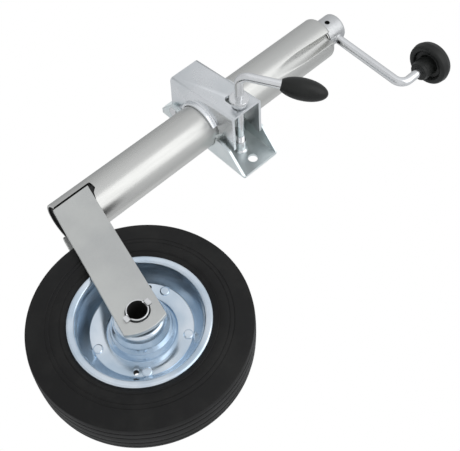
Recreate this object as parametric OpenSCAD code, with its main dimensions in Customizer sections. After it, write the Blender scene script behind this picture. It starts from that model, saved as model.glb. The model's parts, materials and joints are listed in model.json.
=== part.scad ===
// Trailer jack wheel: a telescopic prop stand with a crank on top, a solid-tyred steel wheel in a
// flat-bar fork, and a hinged clamp that grips the tube and bolts to a drawbar.
//
// The origin is the middle of the clamp's mounting face, midway between its two bolt holes.
// +Z runs up the tube, +X points from the tube to the wheel, and +Y points out of the mounting
// face into the drawbar. All sizes are in millimetres.

/* [Outer tube] */
// Outside diameter of the outer tube
tube_d = 48; // [47:0.5:49]
// Wall thickness of both tubes
tube_wall = 2.5; // [2:0.1:2.6]
// Length of the outer tube
tube_len = 358.5; // [350:0.5:400]
// Height of the outer tube's lower end above the axle
tube_rise = 17.5; // [14:0.5:18]
// Length of the three crimped flutes at the upper end
flute_len = 91; // [80:1:95]

/* [Clamp] */
// Height of the clamp's middle above the axle
clamp_rise = 219; // [210:1:240]
// Distance from the mounting face to the tube's axis
stand_off = 30; // [29.5:0.5:31]
// Length of the base channel, across the tube
base_len = 132; // [128:1:140]
// Height of the base channel, along the tube
base_h = 50; // [50:1:56]
// Distance between the two bolt holes
bolt_spacing = 108; // [104:1:110]
// Diameter of the bolt holes
bolt_hole_d = 10.5; // [8.5:0.5:12]
// Height of the hinged cap, along the tube
cap_h = 39; // [34:1:42]
// Thickness of the clamp's sheet steel
sheet = 3; // [2.5:0.1:3.5]

/* [Clamp screw] */
// Distance from the tube's axis to the clamp screw
screw_x = 35.5; // [35:0.1:36]
// Diameter of the clamp screw's plain rod
screw_d = 9; // [8:0.5:9.5]
// Length of the screw's bent arm, from its corner to the tip of its grip
arm_reach = 87; // [80:1:95]
// Angle of the arm above +X
arm_angle = 36.5; // [0:0.5:90]
// Largest diameter of the grip
grip_d = 22; // [20:0.5:24]

/* [Crank] */
// Diameter of the lifting screw inside the tube
spindle_d = 16; // [15:0.5:16]
// Diameter of the bent crank rod
crank_d = 10; // [9:0.5:10]
// Distance from the tube's axis to the knob's axis
crank_throw = 108.5; // [95:0.5:120]
// Angle of the crank around the tube, from +X
crank_angle = 3; // [-90:1:90]
// Diameter of the crank's knob
knob_d = 49; // [44:1:52]

/* [Fork] */
// Width of the flat bar
bar_w = 40; // [36:1:42]
// Thickness of the flat bar
bar_t = 5; // [4:0.5:5.5]
// Distance from the tube's axis to the axle
wheel_reach = 138.6; // [136:0.1:145]
// Distance from the middle of the wheel to each leg's outer face, at the axle
fork_half = 36; // [36:0.5:38]

/* [Wheel] */
// Diameter of the tyre
wheel_d = 200; // [196:1:202]
// Width of the tyre at its widest
tyre_w = 46.6; // [44:0.2:46.6]
// Outside diameter of the rim's rolled lip
rim_d = 129.4; // [126:0.2:131]
// Outside diameter of the axle tube
axle_d = 20; // [18:0.5:20]
// Number of rivets that join the rim halves
rivet_count = 5; // [4:1:6]

/* [Hidden] */
$fn = 96;
through = 400;             // longer than anything that is cut
slip = 0.06;               // radial clearance of a running fit
gap = 0.3;                 // clearance between parts that only pass each other

tube_r = tube_d / 2;
bore_r = tube_r - tube_wall;
inner_r = bore_r - gap;
tube_top = tube_rise + tube_len;

// The fork's legs stand in notches in the outer tube.
notch_left = -7.3;
notch_right = 12;
notch_h = 42.5;
notch_round = 1.5;

// Each flute is the mark of a round-nosed bar that sinks in as it nears the tube's end, a little askew.
flute_count = 3;
flute_r = 5.5;
flute_depth = 9;
flute_angle = -46;
flute_skew = 2.4;
flute_tilt = atan(flute_depth / flute_len);
flute_z = tube_top - flute_len;

inner_z = 20;
inner_len = flute_z - inner_z - 1;
nut_h = 15;
nut_z = inner_z + inner_len - nut_h;

// The lifting screw hangs from the bush by the crank head and pushes up on it by the collar.
spindle_r = spindle_d / 2;
bush_r = tube_r - flute_depth - tube_wall - gap;
bush_h = 26;
bush_z = tube_top - bush_h;
race_r = bush_r + 1.4;
race_h = 5;
race_z = bush_z - race_h - 0.1;
collar_h = 7;
collar_z = race_z - collar_h - 0.1;
spindle_z = 110;
washer_z = tube_top + 0.1;
washer_h = 1.3;

// The crank rod stands in a blind hole in the head's side, at half its height.
head_r = 16;
head_z = washer_z + washer_h + 0.2;
head_h = 24.6;
head_round = 4;
crank_r = crank_d / 2;
crank_z = head_z + head_h / 2;
crank_bend = 11;
crank_start = 11;
pin_r = 2.75;
pin_wall = 1;
pin_z = crank_z - 3.6;
pin_angle = crank_angle - 90;
spindle_top = pin_z + 6.4;

knob_r = knob_d / 2;
knob_h = 18;
knob_z = crank_z + 39.5;
knob_under_round = 6;
knob_top_round = 12;
knob_boss_r = 11;
knob_boss_h = 13;
knob_boss_z = knob_z - knob_boss_h;
knob_dish_r = 17.5;
knob_dish_h = 5;
rivet_head_h = 2;
knob_top = knob_z + knob_h;
crank_top = knob_top - 3;

// The legs start flat against the inner tube and splay out to the hub.
tab_y = inner_r;
tab_left = -3;
tab_right = 12;
tab_z = 35;
bar_drop = atan(tab_z / (wheel_reach - tab_left));
splay = (fork_half - bar_t - tab_y) / (wheel_reach - tab_right);
bar_end = 20.6;
bar_end_r = 38.5;
hub_hole_r = axle_d / 2 + 1;

axle_r = axle_d / 2;
axle_wall = 1.2;
axle_half = fork_half + 2.5;
lug_w = 6;
lug_t = 1.8;
lug_out = 4.5;

wheel_r = wheel_d / 2;
rim_r = rim_d / 2;
rim_t = 1.6;
disc_y = 2.8;
disc_inner_r = 31.5;
disc_outer_r = 46.5;
rivet_circle_r = 41.5;
rivet_r = 2.5;
rivet_head_r = 4.5;
rivet_first = 38;
vent_r = 2.5;
vent_angles = [-47, 131];
hub_bush_r = 12;
cup_flange_r = 45;
cup_y = 27.5;

// Clamp, measured from the tube's axis and from the clamp's middle.
base_half = base_len / 2;
base_shoulder = [45, 4];
base_lip = [35, 1];
boss_r = 6;
boss_h = 13.7;
thread_r = 4.85;
hinge_at = [-41, 12];
hinge_r = 4;
hinge_head_r = 6.5;
hinge_head_h = 2.2;
hinge_lug_r = 8;
cap_left = -47.5;
cap_right = 45.5;
cap_rise_left = 31;
cap_rise_right = 41.5;
cap_tilt = atan((cap_rise_right - cap_rise_left) / (cap_right - cap_left));
arch_r = tube_r + 2;
lip_r = tube_r + 0.35;
lip_t = 2.8;
lip_h = 6;
lip_from = -165;
lip_to = -33;
slot_left = 17;
slot_right = 42.5;
slot_r = 5.5;

washer_at = cap_rise_right + 0.25;
plain_washer_r = 8;
plain_washer_t = 6.4;
screw_collar_r = 10;
screw_collar_h = 3;
screw_collar_round = 1;
screw_r = screw_d / 2;
screw_bend = 9;
arm_y = 81.8;
arm_drop = 9;
thread_len = 22;
grip_len = 46;
grip_blind = 14;

steel_grey = [0.74, 0.75, 0.75];
zinc_blue = [0.72, 0.77, 0.82];
rubber_black = [0.15, 0.15, 0.15];
plastic_black = [0.12, 0.12, 0.12];

// ---------------------------------------------------------------- places and small shapes

// Places its children in the jack's own frame: Z up the tube's axis from the height of the axle.
module at_jack() {
    translate([0, -stand_off, -clamp_rise]) children();
}

// Places its children at the clamp's middle, on the tube's axis.
module at_clamp() {
    translate([0, -stand_off, 0]) children();
}

// Places its children at the wheel's middle, with their Z along the axle.
module at_wheel() {
    at_jack() translate([wheel_reach, 0, 0]) rotate([-90, 0, 0]) children();
}

// Turns an angle seen from the front of the wheel (from +X towards +Z) into a place on a circle.
module on_circle(r, angle) {
    rotate([0, 0, -angle]) translate([r, 0, 0]) children();
}

// Places its children on the clamp screw's axis, with their Z pointing away from the drawbar.
module at_screw() {
    at_clamp() translate([screw_x, 0, 0]) rotate([90, 0, 0]) children();
}

// A ring with a rectangular section.
module ring(r_out, r_in, h) {
    difference() {
        cylinder(r = r_out, h = h);
        translate([0, 0, -1]) cylinder(r = r_in, h = h + 2);
    }
}

// A rod of radius r that runs up Z to a corner, turns towards +X round radius bend, leans down by
// an angle, and ends at a distance from the corner. Its last length is a hair thinner than the bend.
module bent_rod(r, z_from, z_corner, bend, reach, lean = 0) {
    turn = 90 + lean;
    inset = bend * tan(turn / 2);
    translate([0, 0, z_from]) cylinder(r = r, h = z_corner - inset - z_from);
    translate([bend, 0, z_corner - inset]) rotate([90, 0, 180])
        rotate_extrude(angle = turn) translate([bend, 0]) circle(r = r);
    translate([0, 0, z_corner]) rotate([0, turn, 0]) translate([0, 0, inset - 0.5])
        cylinder(r = r - 0.02, h = reach - inset + 0.5);
}

// The unit normal to the left of a line from a to b.
function left_of(a, b) = let (d = b - a) [-d[1], d[0]] / norm(d);

// A path moved sideways by t, with mitred corners.
function beside(path, t) = [
    for (i = [0 : len(path) - 1])
        let (
            last = len(path) - 1,
            before = left_of(path[max(i - 1, 0)], path[max(i, 1)]),
            after = left_of(path[min(i, last - 1)], path[min(i + 1, last)]),
            middle = (before + after) / norm(before + after)
        )
        path[i] + middle * t / (middle * after)
];

function reversed(path) = [for (i = [len(path) - 1 : -1 : 0]) path[i]];

// Points along an arc about c, from one angle to another.
function arc(c, r, from, to, steps) = [
    for (i = [0 : steps]) c + r * [cos(from + (to - from) * i / steps), sin(from + (to - from) * i / steps)]
];

// ---------------------------------------------------------------- clamp

module clamp_base() {
    color(steel_grey) difference() {
        at_clamp() base_channel();
        for (side = [-1, 1])
            translate([side * bolt_spacing / 2, 1, 0]) rotate([90, 0, 0])
                cylinder(d = bolt_hole_d, h = sheet + 2);
    }
}

// The pressed channel: a back plate and two flanges with a seat for the tube.
module base_channel() {
    right = [
        base_lip, base_shoulder, [base_half, stand_off - sheet], [base_half, stand_off]
    ];
    outline = concat(right, reversed([for (p = right) [-p[0], p[1]]]));
    difference() {
        translate([0, 0, -base_h / 2]) linear_extrude(base_h) polygon(outline);
        translate([-through / 2, -through + stand_off - sheet, -base_h / 2 + sheet])
            cube([through, through, base_h - 2 * sheet]);
        translate([0, 0, -through / 2]) cylinder(r = lip_r, h = through);
        translate([hinge_at[0], hinge_at[1], -through / 2]) cylinder(r = hinge_r + slip, h = through);
    }
}

module screw_boss() {
    color(steel_grey) at_screw() translate([0, 0, -(stand_off - sheet)])
        ring(boss_r, thread_r + slip, boss_h);
}

module hinge_pin() {
    head_at = base_h / 2 + 0.05;
    color(steel_grey) at_clamp() translate([hinge_at[0], hinge_at[1], 0]) {
        translate([0, 0, -head_at]) cylinder(r = hinge_r, h = 2 * head_at);
        for (side = [0, 1])
            mirror([0, 0, side]) translate([0, 0, head_at])
                rotate_extrude() polygon(concat([[0, 0]], rivet_outline(hinge_head_r, hinge_head_h)));
    }
}

// The outline of a domed rivet head, from its rim to its crown on the axis.
function rivet_outline(r, h) = [
    for (i = [0 : 6]) [r * cos(15 * i), h * sin(15 * i)]
];

module clamp_cap() {
    color(steel_grey) at_clamp() difference() {
        union() {
            cap_channel();
            for (side = [0, 1])
                mirror([0, 0, side]) translate([0, 0, cap_h / 2 - sheet]) arch_lip();
        }
        translate([hinge_at[0], hinge_at[1], -through / 2])
            cylinder(r = hinge_r + slip, h = through);
        translate([0, -tube_r, 0]) rotate([90, 0, 0]) screw_slot();
    }
}

// The cap's channel: a sloping top plate and two flanges, arched over the tube.
module cap_channel() {
    difference() {
        translate([0, 0, -cap_h / 2]) linear_extrude(cap_h) {
            polygon([
                [cap_left, -cap_rise_left], [cap_right, -cap_rise_right], [cap_right + 1.5, 6.6],
                [arch_r, 0], [-arch_r, 0], [-arch_r - 2, 6], [hinge_at[0], hinge_at[1]],
                [hinge_at[0] - hinge_lug_r, hinge_at[1]]
            ]);
            translate(hinge_at) circle(r = hinge_lug_r);
        }
        translate([cap_left, -cap_rise_left, -cap_h / 2 + sheet]) rotate([0, 0, -cap_tilt])
            translate([-through / 2, sheet, 0]) cube([through, through, cap_h - 2 * sheet]);
        translate([0, 0, -through / 2]) cylinder(r = arch_r, h = through);
    }
}

// The curved lip that is turned out along the arch and bears on the tube.
module arch_lip() {
    linear_extrude(lip_h + sheet) intersection() {
        difference() {
            circle(r = lip_r + lip_t);
            circle(r = lip_r);
        }
        polygon(concat([[0, 0]], arc([0, 0], 2 * tube_r, lip_from, lip_to, 6)));
    }
}

module screw_slot() {
    translate([slot_left + slot_r, 0, 0]) cylinder(r = slot_r, h = through);
    translate([slot_right - slot_r, 0, 0]) cylinder(r = slot_r, h = through);
    translate([slot_left + slot_r, -slot_r, 0])
        cube([slot_right - slot_left - 2 * slot_r, 2 * slot_r, through]);
}

module clamp_washer() {
    color(zinc_blue) at_screw() translate([0, 0, washer_at])
        ring(plain_washer_r, screw_r + gap, plain_washer_t);
}

module screw_collar() {
    z = washer_at + plain_washer_t + 0.05;
    color(zinc_blue) at_screw() translate([0, 0, z]) rotate_extrude() polygon(concat(
        [[screw_r + 0.02, 0], [screw_collar_r, 0]],
        arc([screw_collar_r - screw_collar_round, screw_collar_h - screw_collar_round],
            screw_collar_round, 0, 90, 4),
        [[screw_r + 0.02, screw_collar_h]]
    ));
}

module clamp_screw() {
    thread_end = -(stand_off - sheet) + 1;
    color(steel_grey) at_screw() {
        translate([0, 0, thread_end]) cylinder(r = thread_r, h = thread_len);
        rotate([0, 0, arm_angle])
            bent_rod(screw_r, thread_end + thread_len, arm_y, screw_bend,
                     arm_reach - grip_len + grip_blind, arm_drop);
    }
}

// The grip is half of an ellipse turned round its long axis, cut off square at its mouth.
module clamp_grip() {
    steps = 24;
    cut_angle = 150;
    long_half = grip_len / (1 - cos(cut_angle));
    outline = [
        for (i = [0 : steps]) let (a = cut_angle * (1 - i / steps))
            [grip_d / 2 * sin(a), grip_len - long_half * (1 - cos(a))]
    ];
    color(plastic_black) at_screw() rotate([0, 0, arm_angle]) translate([0, 0, arm_y])
        rotate([0, 90 + arm_drop, 0]) translate([0, 0, arm_reach - grip_len]) difference() {
            rotate_extrude() polygon(concat([[0, 0]], outline));
            translate([0, 0, -1]) cylinder(r = screw_r + 0.02, h = grip_blind + 1.2);
        }
}

// ---------------------------------------------------------------- tubes and lifting screw

module outer_tube() {
    color(steel_grey) at_jack() difference() {
        union() {
            translate([0, 0, tube_rise]) ring(tube_r, bore_r, tube_len);
            intersection() {
                translate([0, 0, flute_z]) cylinder(r = bore_r + tube_wall / 2, h = flute_len);
                union() for (i = [0 : flute_count - 1]) flute(i, flute_r + tube_wall);
            }
        }
        for (i = [0 : flute_count - 1]) flute(i, flute_r);
        for (side = [-1, 1]) notch(side);
        translate([0, 0, tube_top]) cylinder(r = tube_d, h = flute_len);
    }
}

// The pressing tool, a bar with a round nose of radius r. It leans in towards the tube's axis as
// it rises.
module flute(i, r) {
    nose = arc([0, 0], r, 90, 270, 12);
    rotate([0, 0, flute_angle + 360 / flute_count * i]) translate([tube_r + flute_r, 0, flute_z])
        rotate([-flute_skew, -flute_tilt, 0]) translate([0, 0, -flute_len / 4])
            linear_extrude(1.5 * flute_len) polygon(concat(nose, [[tube_r, -r], [tube_r, r]]));
}

// A notch in the tube's wall for one fork leg. To the right its top drops along the leg's edge.
module notch(side) {
    top = tube_rise + notch_h;
    outline = concat(
        arc([notch_left + notch_round, top - notch_round], notch_round, 180, 90, 4),
        [[2.5, top], [6, top - 4.4], [notch_right, top - 7], [notch_right, 0], [notch_left, 0]]
    );
    translate([0, side * tube_r, 0]) rotate([90, 0, 0]) linear_extrude(tube_r, center = true)
        polygon(outline);
}

module top_bush() {
    color(plastic_black) at_jack() translate([0, 0, bush_z]) ring(bush_r, spindle_r + slip, bush_h);
}

module thrust_washer() {
    color(zinc_blue) at_jack() translate([0, 0, washer_z]) ring(head_r - 1, spindle_r + gap, washer_h);
}

module inner_tube() {
    color(steel_grey) at_jack() translate([0, 0, inner_z])
        ring(inner_r, inner_r - tube_wall, inner_len);
}

module spindle_nut() {
    color(steel_grey) at_jack() translate([0, 0, nut_z])
        ring(inner_r - tube_wall - slip, spindle_r + slip, nut_h - 1);
}

module lift_spindle() {
    color(steel_grey) at_jack() difference() {
        translate([0, 0, spindle_z]) cylinder(r = spindle_r, h = spindle_top - spindle_z);
        pin_hole();
    }
}

module spindle_collar() {
    color(steel_grey) at_jack() translate([0, 0, collar_z]) ring(race_r, spindle_r + 0.02, collar_h);
}

module thrust_race() {
    color(zinc_blue) at_jack() translate([0, 0, race_z]) ring(race_r, spindle_r + 0.02, race_h);
}

// The cross hole for the pin that holds the head on the lifting screw.
module pin_hole() {
    translate([0, 0, pin_z]) rotate([0, 0, pin_angle]) rotate([0, 90, 0])
        translate([0, 0, -through / 2]) cylinder(r = pin_r + 0.03, h = through);
}

module crank_head() {
    color(zinc_blue) at_jack() difference() {
        translate([0, 0, head_z]) rotate_extrude() polygon(concat(
            [[0, 0], [head_r - 1, 0], [head_r, 1]],
            arc([head_r - head_round, head_h - head_round], head_round, 0, 90, 12),
            [[0, head_h]]
        ));
        translate([0, 0, head_z - 1]) cylinder(r = spindle_r + 0.02, h = spindle_top - head_z + 1.1);
        pin_hole();
        translate([0, 0, crank_z]) rotate([0, 0, crank_angle]) rotate([0, 90, 0])
            translate([0, 0, crank_start - 0.1]) cylinder(r = crank_r + 0.03, h = through);
    }
}

// The pin is a rolled sleeve.
module crank_pin() {
    half = head_r - 0.4;
    color(steel_grey) at_jack() translate([0, 0, pin_z]) rotate([0, 0, pin_angle]) rotate([0, 90, 0])
        translate([0, 0, -half]) ring(pin_r, pin_r - pin_wall, 2 * half);
}

module crank_rod() {
    riser = crank_top - crank_z - rivet_head_h;
    color(zinc_blue) at_jack() translate([0, 0, crank_z]) rotate([0, 0, crank_angle]) {
        mirror([0, 0, 1]) rotate([0, 90, 0])
            bent_rod(crank_r, crank_start, crank_throw, crank_bend, riser);
        translate([crank_throw, 0, riser - 0.01])
            rotate_extrude() polygon(concat([[0, 0]], rivet_outline(crank_r + 2, rivet_head_h)));
    }
}

module crank_knob() {
    color(plastic_black) at_jack() rotate([0, 0, crank_angle]) translate([crank_throw, 0, 0])
        difference() {
            rotate_extrude() polygon(concat(
                [[crank_r + slip, knob_boss_z], [knob_boss_r - 1, knob_boss_z],
                 [knob_boss_r, knob_boss_z + 1], [knob_boss_r, knob_z + knob_dish_h],
                 [knob_dish_r, knob_z + knob_dish_h], [knob_dish_r, knob_z]],
                arc([knob_r - knob_under_round, knob_z + knob_under_round], knob_under_round, -90, 0, 8),
                arc([knob_r - knob_top_round, knob_top - knob_top_round], knob_top_round, 0, 90, 12),
                [[crank_r + slip, knob_top]]
            ));
            translate([0, 0, crank_top - rivet_head_h - gap]) cylinder(r = crank_r + 2 + gap, h = knob_h);
        }
}

// ---------------------------------------------------------------- fork and axle

module fork_leg(side) {
    color(steel_grey) at_jack() difference() {
        intersection() {
            rotate([90, 0, 0]) translate([0, 0, -through / 2]) linear_extrude(through) leg_face();
            mirror([0, side > 0 ? 0 : 1, 0]) linear_extrude(through, center = true) leg_edge();
        }
        translate([wheel_reach, 0, 0]) rotate([90, 0, 0]) translate([0, 0, -through / 2])
            cylinder(r = hub_hole_r, h = through);
    }
}

// The leg seen from its side: a bar that drops to the hub and ends in a shallow arc.
module leg_face() {
    intersection() {
        translate([wheel_reach, 0]) rotate(-bar_drop) {
            translate([-through, -bar_w / 2]) square([through - bar_w / 4, bar_w]);
            intersection() {
                translate([-bar_w / 2, -bar_w / 2]) square([2 * bar_w, bar_w]);
                translate([bar_end - bar_end_r, 0]) circle(r = bar_end_r);
            }
        }
        translate([tab_left, -through / 2]) square([through, through]);
    }
}

// The leg seen from above: flat along the tube, then splayed out to the hub.
module leg_edge() {
    far = wheel_reach + bar_w;
    path = [[tab_left, tab_y + bar_t / 2], [tab_right, tab_y + bar_t / 2],
            [far, tab_y + bar_t / 2 + splay * (far - tab_right)]];
    polygon(concat(beside(path, bar_t / 2), reversed(beside(path, -bar_t / 2))));
}

module fork_leg_front() {
    fork_leg(-1);
}

module fork_leg_rear() {
    fork_leg(1);
}

// The axle is a thin rolled tube with two tabs bent out over the fork at each end.
module axle_tube() {
    color(zinc_blue) at_wheel() {
        translate([0, 0, -axle_half]) ring(axle_r, axle_r - axle_wall, 2 * axle_half);
        for (side = [0, 1])
            mirror([0, 0, side]) for (up = [-1, 1])
                translate([-lug_w / 2, up * (axle_r - axle_wall / 2 + lug_out / 2) - lug_out / 2,
                           axle_half - lug_t])
                    cube([lug_w, lug_out, lug_t]);
    }
}

// ---------------------------------------------------------------- wheel

// The rim half's centre line, from the disc's inner edge out to the rolled lip, as [radius, width].
rim_path = [
    [disc_inner_r, disc_y], [disc_outer_r, disc_y], [disc_outer_r + 4, disc_y + 3.6],
    [rim_r - 7.8, 18.6], [rim_r - 6.4, 21.2], [rim_r - 3.4, 22.4], [rim_r - 0.8, 21.2]
];

// The tread's radius at a distance w from the tyre's middle: a shallow crown.
function tread_r(w) = wheel_r - pow(w / tyre_w * 2, 2);

module tyre() {
    half = tyre_w / 2;
    bead = [for (p = beside(rim_path, -rim_t / 2 - 0.05)) if (p[0] > disc_outer_r - 1) p];
    side_wall = [
        [rim_r + 1.4, 20.4], [rim_r + 3.3, half - 0.6], [rim_r + 11, half],
        [rim_r + 17.5, half - 0.7], [wheel_r - 8, half - 2.2], [wheel_r - 1, half - 3.6]
    ];
    tread = [
        for (w = [13, 5]) each [
            [tread_r(w + 0.6), w + 0.6], [wheel_r - 1.5, w + 0.4],
            [wheel_r - 1.5, w - 0.4], [tread_r(w - 0.6), w - 0.6]
        ]
    ];
    upper = concat(bead, side_wall, tread);
    lower = reversed([for (p = upper) [p[0], -p[1]]]);
    color(rubber_black) at_wheel() rotate_extrude() polygon(concat(upper, [[wheel_r, 0]], lower));
}

module rim_half() {
    difference() {
        rotate_extrude() polygon(concat(
            beside(rim_path, rim_t / 2), reversed(beside(rim_path, -rim_t / 2))
        ));
        disc_holes();
    }
}

// Holes in the disc for the rivets, and the two small vent holes.
module disc_holes() {
    for (i = [0 : rivet_count - 1])
        on_circle(rivet_circle_r, rivet_first + 360 / rivet_count * i)
            translate([0, 0, -1]) cylinder(r = rivet_r + 0.02, h = 2 * disc_y);
    for (angle = vent_angles)
        on_circle(rivet_circle_r, angle) translate([0, 0, -1]) cylinder(r = vent_r, h = 2 * disc_y);
}

module rim_front() {
    color(zinc_blue) at_wheel() mirror([0, 0, 1]) rim_half();
}

module rim_rear() {
    color(zinc_blue) at_wheel() rim_half();
}

module rim_rivets() {
    face = disc_y + rim_t / 2 + 0.02;
    color(zinc_blue) at_wheel() for (i = [0 : rivet_count - 1])
        on_circle(rivet_circle_r, rivet_first + 360 / rivet_count * i) {
            translate([0, 0, -face]) cylinder(r = rivet_r, h = 2 * face);
            for (side = [0, 1])
                mirror([0, 0, side]) translate([0, 0, face - 0.01])
                    rotate_extrude() polygon(concat([[0, 0]], rivet_outline(rivet_head_r, 1.6)));
        }
}

// A deep-drawn cup: a flange between the rim halves, a dome, and a flat end round the bush.
module hub_cup() {
    t = 1.6;
    path = [
        [cup_flange_r, 1.05], [29.5, 1.05], [27.6, 3], [26.4, 12], [23.6, 20], [22, cup_y - 2.6],
        [19.4, cup_y - t / 2], [hub_bush_r + 0.02, cup_y - t / 2]
    ];
    difference() {
        rotate_extrude() polygon(concat(beside(path, t / 2), reversed(beside(path, -t / 2))));
        disc_holes();
    }
}

module hub_cup_front() {
    color(zinc_blue) at_wheel() mirror([0, 0, 1]) hub_cup();
}

module hub_cup_rear() {
    color(zinc_blue) at_wheel() hub_cup();
}

module hub_bush() {
    color(plastic_black) at_wheel() translate([0, 0, -cup_y - 0.8])
        ring(hub_bush_r, axle_r + slip, 2 * (cup_y + 0.8));
}

clamp_base();
screw_boss();
hinge_pin();
clamp_cap();
clamp_washer();
screw_collar();
clamp_screw();
clamp_grip();
outer_tube();
top_bush();
thrust_washer();
lift_spindle();
spindle_collar();
thrust_race();
crank_head();
crank_pin();
crank_rod();
crank_knob();
inner_tube();
spindle_nut();
fork_leg_front();
fork_leg_rear();
axle_tube();
tyre();
rim_front();
rim_rear();
rim_rivets();
hub_cup_front();
hub_cup_rear();
hub_bush();
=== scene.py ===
"""The looks of a trailer jack wheel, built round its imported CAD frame.

Pieces are modelled in millimetres in the local space of the jack, the clamp, the screw or the wheel,
and each is then placed in the shared frame, in metres.
"""

import json
from math import asin, atan2, ceil, cos, degrees, hypot, pi, radians, sin, sqrt, tan

import bmesh
import bpy
from mathutils import Matrix, Vector


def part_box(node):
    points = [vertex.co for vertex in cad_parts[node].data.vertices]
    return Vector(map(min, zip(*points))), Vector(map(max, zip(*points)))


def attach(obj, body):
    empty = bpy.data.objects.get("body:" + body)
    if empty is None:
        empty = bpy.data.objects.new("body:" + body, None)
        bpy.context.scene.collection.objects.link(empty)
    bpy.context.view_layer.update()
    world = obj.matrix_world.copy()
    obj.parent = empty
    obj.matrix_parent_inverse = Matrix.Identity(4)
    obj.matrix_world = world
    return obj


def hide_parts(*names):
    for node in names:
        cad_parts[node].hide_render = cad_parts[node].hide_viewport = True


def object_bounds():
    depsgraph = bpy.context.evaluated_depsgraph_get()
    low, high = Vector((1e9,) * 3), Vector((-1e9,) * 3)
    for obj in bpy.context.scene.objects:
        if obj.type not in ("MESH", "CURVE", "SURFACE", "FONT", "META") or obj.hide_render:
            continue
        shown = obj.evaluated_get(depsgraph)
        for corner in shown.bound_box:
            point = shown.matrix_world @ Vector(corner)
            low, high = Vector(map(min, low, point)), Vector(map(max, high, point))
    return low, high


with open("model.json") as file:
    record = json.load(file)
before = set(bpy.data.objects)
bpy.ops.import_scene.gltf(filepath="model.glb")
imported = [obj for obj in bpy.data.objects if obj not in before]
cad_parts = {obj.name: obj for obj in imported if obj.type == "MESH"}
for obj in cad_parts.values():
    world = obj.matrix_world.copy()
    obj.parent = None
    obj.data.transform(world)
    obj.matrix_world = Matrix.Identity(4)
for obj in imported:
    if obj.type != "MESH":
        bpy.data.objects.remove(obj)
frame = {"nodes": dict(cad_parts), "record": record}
cad_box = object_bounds()

MM = 0.001
RECORD = frame["record"]
BODY_OF = {node: body for body, nodes in RECORD["behaviour"]["bodies"].items() for node in nodes}


# ---------------------------------------------------------------- places

def lo(node):
    """The lowest corner of a CAD node, in millimetres."""
    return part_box(node)[0] / MM


def hi(node):
    """The highest corner of a CAD node, in millimetres."""
    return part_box(node)[1] / MM


def mid(node):
    return (lo(node) + hi(node)) / 2


def size(node):
    return hi(node) - lo(node)


TUBE = mid("outer_tube")
WHEEL = mid("tyre")
SCREW = mid("screw_boss")
KNOB = mid("crank_knob")

# The jack's space has Z up the tube's axis from the axle's height; the clamp's starts at its middle.
JACK = Vector((TUBE.x, TUBE.y, WHEEL.z))
CLAMP = Vector((TUBE.x, TUBE.y, mid("clamp_base").z))
SCALE = Matrix.Scale(MM, 4)
AT_JACK = SCALE @ Matrix.Translation(JACK)
AT_CLAMP = SCALE @ Matrix.Translation(CLAMP)
AT_WHEEL = SCALE @ Matrix.Translation(WHEEL) @ Matrix.Rotation(-pi / 2, 4, "X")
AT_SCREW = SCALE @ Matrix.Translation((SCREW.x, CLAMP.y, CLAMP.z)) @ Matrix.Rotation(pi / 2, 4, "X")


# ---------------------------------------------------------------- outlines

def rounded(points, closed=True, steps=5):
    """A path whose corners are rounded: each point is (x, y) or (x, y, radius)."""
    out = []
    count = len(points)
    for i, point in enumerate(points):
        here = Vector(point[:2])
        radius = point[2] if len(point) > 2 else 0
        if radius == 0 or (not closed and i in (0, count - 1)):
            out.append(here)
            continue
        before = Vector(points[i - 1][:2]) - here
        after = Vector(points[(i + 1) % count][:2]) - here
        half = before.angle(after) / 2
        reach = min(radius / tan(half), before.length * 0.499, after.length * 0.499)
        radius = reach * tan(half)
        centre = here + (before.normalized() + after.normalized()).normalized() * radius / sin(half)
        start = here + before.normalized() * reach - centre
        end = here + after.normalized() * reach - centre
        turn = start.angle_signed(end)
        for k in range(steps + 1):
            angle = -turn * k / steps
            out.append(centre + Matrix.Rotation(angle, 2) @ start)
    return out


def beside(path, distance):
    """An open path moved sideways, with mitred corners."""
    normals = []
    for a, b in zip(path, path[1:]):
        along = (b - a).normalized()
        normals.append(Vector((-along.y, along.x)))
    out = []
    for i, point in enumerate(path):
        first = normals[max(i - 1, 0)]
        second = normals[min(i, len(normals) - 1)]
        middle = (first + second).normalized()
        out.append(point + middle * distance / middle.dot(second))
    return out


def sheet_outline(points, thickness, edge=0.35, steps=6):
    """The closed outline of a bent sheet from its centre line, with softened edges."""
    path = rounded(points, closed=False, steps=steps)
    half = thickness / 2
    left = beside(path, half)
    right = beside(path, -half)
    outline = [(p.x, p.y) for p in left] + [(p.x, p.y) for p in reversed(right)]
    last = len(left) - 1
    for i in (0, last, last + 1, len(outline) - 1):
        outline[i] = (*outline[i], edge)
    return rounded(outline, steps=2)


def arc(centre, radius, start, end, steps):
    """Points along an arc, its angles in degrees."""
    angles = [radians(start + (end - start) * i / steps) for i in range(steps + 1)]
    return [(centre[0] + radius * cos(a), centre[1] + radius * sin(a)) for a in angles]


def circle(centre, radius, sides):
    """The points of a full circle."""
    return arc(centre, radius, 0, 360 - 360 / sides, sides - 1)


# ---------------------------------------------------------------- solids, as (points, faces)

def lathe(outline, steps=144, start=0, sweep=360):
    """Turns a closed outline of (radius, height) points round Z; part of a turn gets flat ends."""
    full = abs(sweep) >= 360
    rings = steps if full else steps + 1
    points = []
    for i in range(rings):
        a = radians(start + sweep * i / steps)
        points += [(p[0] * cos(a), p[0] * sin(a), p[1]) for p in outline]
    n = len(outline)
    faces = []
    for i in range(steps):
        a, b = i * n, (i + 1) % rings * n
        faces += [(a + j, b + j, b + (j + 1) % n, a + (j + 1) % n) for j in range(n)]
    if not full:
        faces.append(tuple(range(n)))
        faces.append(tuple(steps * n + j for j in range(n)))
    return points, faces


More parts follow.
